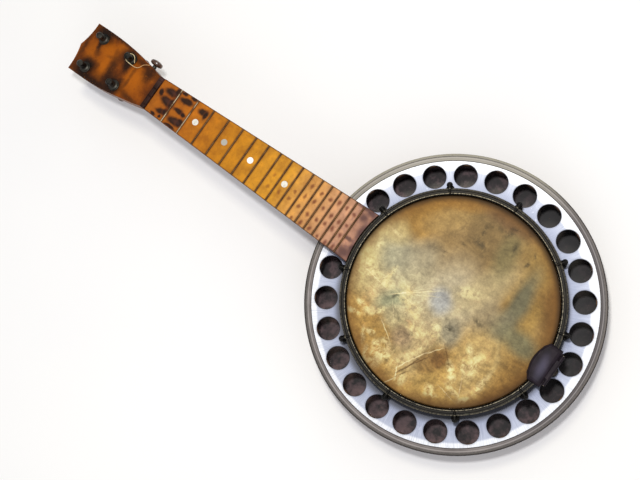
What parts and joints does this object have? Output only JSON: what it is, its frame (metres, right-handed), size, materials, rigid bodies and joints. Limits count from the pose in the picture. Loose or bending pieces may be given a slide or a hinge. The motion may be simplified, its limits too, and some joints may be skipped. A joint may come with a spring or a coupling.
{
  "type": "ukulele banjo",
  "caption": "Small fretted banjo with a skin head on a wooden rim, pierced plate flange, wooden resonator, hinged tailpiece cover and friction tuners on a flat headstock.",
  "frame": {"origin": "centre of the resonator's flat back, on the face that it rests on", "axes": "+Z from the resonator's back out through the skin head, +Y from the pot along the neck to the headstock, +X to the treble side, the side of the small edge peg"},
  "size_m": [0.2628, 0.552, 0.0764],
  "materials": {
    "resonator_wood": "aged dark brown varnish over laminated wood",
    "purfling": "thin black line let into the edge",
    "binding": "grey-brown worn edging with a fine stripe",
    "inner_wood": "unfinished brown wood",
    "dark_steel": "dull tarnished steel",
    "flange_plate": "bright silvery plate with fine wear",
    "rim_maple": "brown laminated maple",
    "brass_ring": "dull brass",
    "skin": "yellowed calfskin with clouds, stains and scratches",
    "hoop_metal": "black-brown tarnished plate",
    "tail_metal": "smooth black-purple lacquer",
    "neck_wood": "amber-brown varnished hardwood with dark stains round the pegs",
    "board_faced": "amber tortoise facing with dark blotches and pink wear",
    "fret_wire": "dull tarnished fret wire",
    "pearl": "off-white inlay",
    "nut_dark": "dark hardwood",
    "tuner_metal": "dark grey worn metal",
    "button_dark": "dark brown moulded button",
    "string_wire": "translucent gut-like string"
  },
  "bodies": {
    "root": {"resonator_back": "resonator_wood", "resonator_side": "resonator_wood", "resonator_purfling": "purfling", "resonator_binding": "binding", "resonator_lining": "inner_wood", "resonator_spacer": "inner_wood", "resonator_screw": "dark_steel", "flange": "flange_plate", "rim": "rim_maple", "tone_ring": "brass_ring", "head_skin": "skin", "flesh_hoop": "dark_steel", "tension_hoop": "hoop_metal", "hooks": "hoop_metal", "hook_nuts": "dark_steel", "shoes": "hoop_metal", "shoe_bolts": "dark_steel", "dowel_stick": "rim_maple", "end_bolt": "dark_steel", "end_nut": "dark_steel", "tailpiece_base": "tail_metal", "tailpiece_pin": "dark_steel", "neck": "neck_wood", "fretboard": "board_faced", "frets": "fret_wire", "position_dots": "pearl", "nut": "nut_dark", "tuner_bushings": "tuner_metal", "tuner_washers": "tuner_metal", "string_end": "string_wire"},
    "tuner_1": {"tuner_1_post": "tuner_metal", "tuner_1_button": "button_dark", "tuner_1_screw": "dark_steel"},
    "tuner_2": {"tuner_2_post": "tuner_metal", "tuner_2_button": "button_dark", "tuner_2_screw": "dark_steel"},
    "tuner_3": {"tuner_3_post": "tuner_metal", "tuner_3_button": "button_dark", "tuner_3_screw": "dark_steel"},
    "tuner_4": {"tuner_4_post": "tuner_metal", "tuner_4_button": "button_dark", "tuner_4_screw": "dark_steel"},
    "side_peg": {"side_peg_stem": "tuner_metal", "side_peg_knob": "button_dark"},
    "tailpiece_cover": {"tailpiece_cover": "tail_metal"}
  },
  "joints": [
    {"name": "tuner_1_turn", "type": "hinge", "parent": "root", "child": "tuner_1", "pos_m": [-0.0156, 0.40238, 0.05516], "axis": [0, 0.1392, 0.9903], "continuous": true},
    {"name": "tuner_2_turn", "type": "hinge", "parent": "root", "child": "tuner_2", "pos_m": [0.0156, 0.40238, 0.05516], "axis": [0, 0.1392, 0.9903], "continuous": true},
    {"name": "tuner_3_turn", "type": "hinge", "parent": "root", "child": "tuner_3", "pos_m": [-0.0145, 0.36634, 0.06022], "axis": [0, 0.1392, 0.9903], "continuous": true},
    {"name": "tuner_4_turn", "type": "hinge", "parent": "root", "child": "tuner_4", "pos_m": [0.0145, 0.36634, 0.06022], "axis": [0, 0.1392, 0.9903], "continuous": true},
    {"name": "side_peg_turn", "type": "hinge", "parent": "root", "child": "side_peg", "pos_m": [0, 0.34566, 0.05682], "axis": [1, 0, 0], "continuous": true},
    {"name": "cover_hinge", "type": "hinge", "parent": "root", "child": "tailpiece_cover", "pos_m": [0, -0.1016, 0.0731], "axis": [1, 0, 0], "range_deg": [0, 75]}
  ]
}
